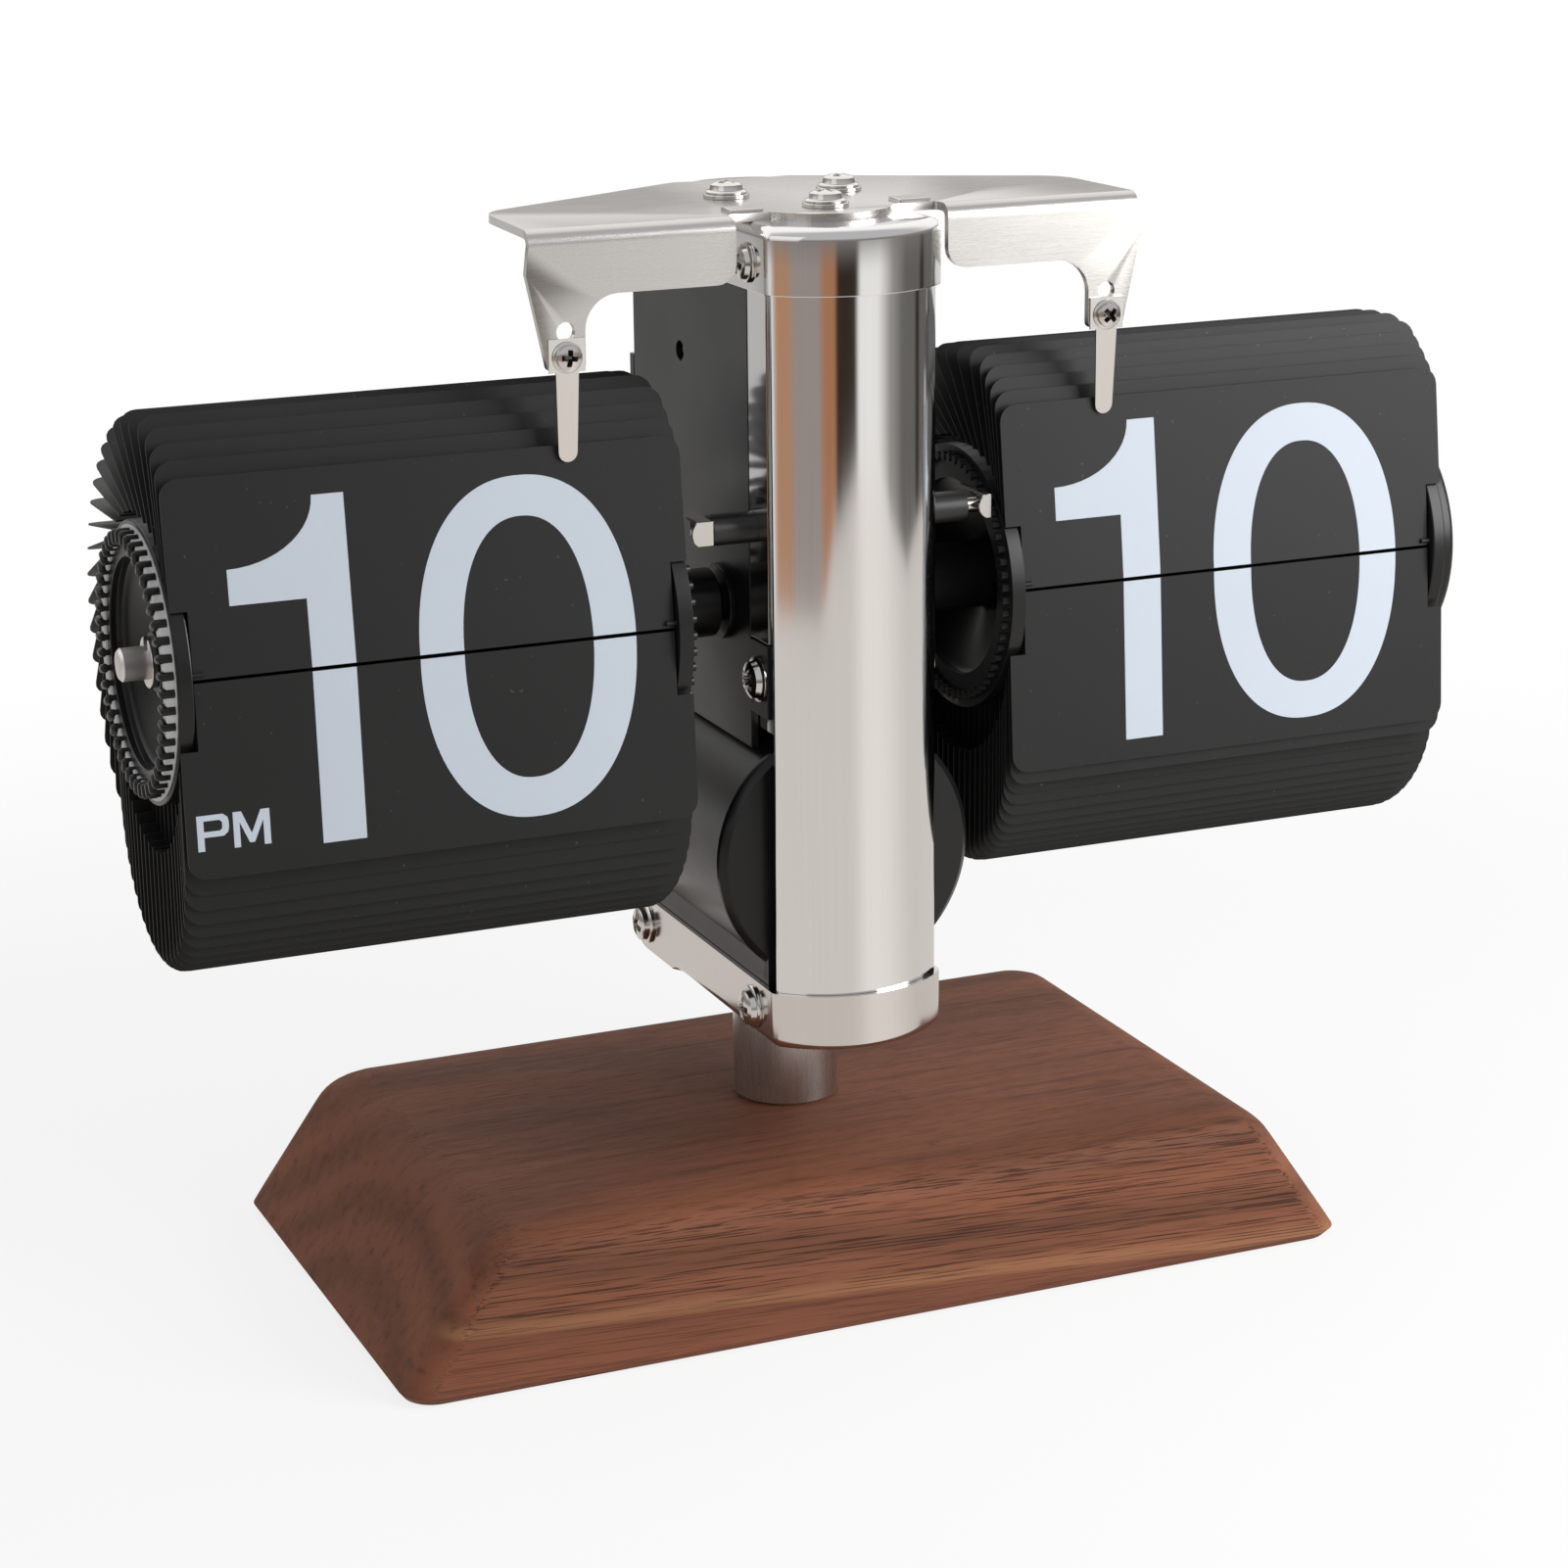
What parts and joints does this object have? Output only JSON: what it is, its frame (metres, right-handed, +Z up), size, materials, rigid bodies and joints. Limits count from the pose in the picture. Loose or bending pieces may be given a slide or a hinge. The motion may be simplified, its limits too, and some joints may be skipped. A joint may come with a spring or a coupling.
{
  "type": "flip clock",
  "caption": "Table flip clock with two drums of split number cards either side of a curved steel pillar, on a wooden base.",
  "frame": {"origin": "centre of the base's underside, on the stem's axis", "axes": "+X to the viewer's right, +Y to the back, +Z up"},
  "size_m": [0.208, 0.0852, 0.1655],
  "materials": {
    "walnut": "oiled walnut, satin",
    "polished_steel": "polished",
    "brushed_steel": "brushed",
    "bright_steel": "bright zinc",
    "black_metal": "black satin",
    "black_plastic": "black satin moulding",
    "card": "charcoal card stock, matte",
    "pale_plastic": "pale grey moulding",
    "brass": "machined",
    "cell": "plain printed sleeve"
  },
  "bodies": {
    "stand": {"wood_base": "walnut", "base_bolt": "bright_steel", "base_washer": "bright_steel", "stem": "brushed_steel", "bottom_strap": "polished_steel", "strap_bolt": "bright_steel", "strap_screws": "bright_steel", "pillar": "polished_steel", "top_cap": "polished_steel", "cap_screws": "bright_steel", "top_bracket": "brushed_steel", "top_screws": "bright_steel", "top_washers": "bright_steel", "left_spring": "brushed_steel", "right_spring": "brushed_steel", "spring_screws": "bright_steel", "left_side_plate": "black_metal", "right_side_plate": "black_metal", "chassis_top": "black_metal", "chassis_spacers": "black_metal", "front_bracket": "polished_steel", "axle_clamp": "black_metal", "pillar_screws": "bright_steel", "rear_cover": "black_plastic", "rear_cover_screws": "bright_steel", "battery_housing": "black_plastic", "battery_cell": "cell", "contact_spring": "bright_steel", "movement_box": "black_plastic", "main_axle": "bright_steel", "axle_clips": "bright_steel", "axle_bushes": "black_plastic", "hour_lower_flap": "card", "hour_upper_flaps": "card", "hour_hanging_flaps": "card", "minute_lower_flap": "card", "minute_upper_flaps": "card", "minute_hanging_flaps": "card", "stop_rod": "black_metal", "stop_clips": "bright_steel"},
    "minute_drum": {"minute_hub": "black_plastic", "minute_pinion": "pale_plastic", "minute_outer_disc": "black_plastic", "minute_end_ring": "pale_plastic", "minute_inner_disc": "black_plastic"},
    "hour_drum": {"hour_hub": "black_plastic", "hour_gear": "pale_plastic", "hour_outer_disc": "black_plastic", "hour_end_ring": "pale_plastic", "hour_inner_disc": "black_plastic"},
    "lay_shaft": {"lay_arbor": "bright_steel", "lay_gear": "pale_plastic", "lay_pinion": "pale_plastic"},
    "motor": {"motor_pinion": "brass"},
    "setting": {"setting_arbor": "bright_steel", "setting_wheel": "black_plastic"},
    "hour_card": {"hour_front_flap": "card"},
    "minute_card": {"minute_front_flap": "card"},
    "battery_door": {"battery_cap": "black_plastic"}
  },
  "joints": [
    {"name": "minute_drum_turn", "type": "hinge", "parent": "stand", "child": "minute_drum", "pos_m": [0.063, -0.0075, 0.1043], "axis": [1, 0, 0], "continuous": true},
    {"name": "hour_drum_turn", "type": "hinge", "parent": "stand", "child": "hour_drum", "pos_m": [-0.063, -0.0075, 0.1043], "axis": [1, 0, 0], "continuous": true},
    {"name": "lay_shaft_turn", "type": "hinge", "parent": "stand", "child": "lay_shaft", "pos_m": [0, 0.0115, 0.1043], "axis": [1, 0, 0], "continuous": true},
    {"name": "motor_turn", "type": "hinge", "parent": "stand", "child": "motor", "pos_m": [0.009, 0.00401, 0.12037], "axis": [1, 0, 0], "continuous": true},
    {"name": "setting_wheel_turn", "type": "hinge", "parent": "stand", "child": "setting", "pos_m": [0, 0.02251, 0.11979], "axis": [1, 0, 0], "continuous": true},
    {"name": "hour_card_fall", "type": "hinge", "parent": "stand", "child": "hour_card", "pos_m": [-0.063, -0.02645, 0.1066], "axis": [1, 0, 0], "range_deg": [0, 183.5]},
    {"name": "minute_card_fall", "type": "hinge", "parent": "stand", "child": "minute_card", "pos_m": [0.063, -0.02645, 0.1066], "axis": [1, 0, 0], "range_deg": [0, 183.5]},
    {"name": "battery_cap_pull", "type": "slide", "parent": "stand", "child": "battery_door", "axis": [0, 1, 0], "range_m": [0, 0.012]}
  ],
  "couplings": [
    {"joint": "hour_drum_turn", "follows": "minute_drum_turn", "ratio": 0.041667},
    {"joint": "lay_shaft_turn", "follows": "minute_drum_turn", "ratio": -0.25},
    {"joint": "motor_turn", "follows": "minute_drum_turn", "ratio": 1.5},
    {"joint": "setting_wheel_turn", "follows": "minute_drum_turn", "ratio": 1}
  ]
}
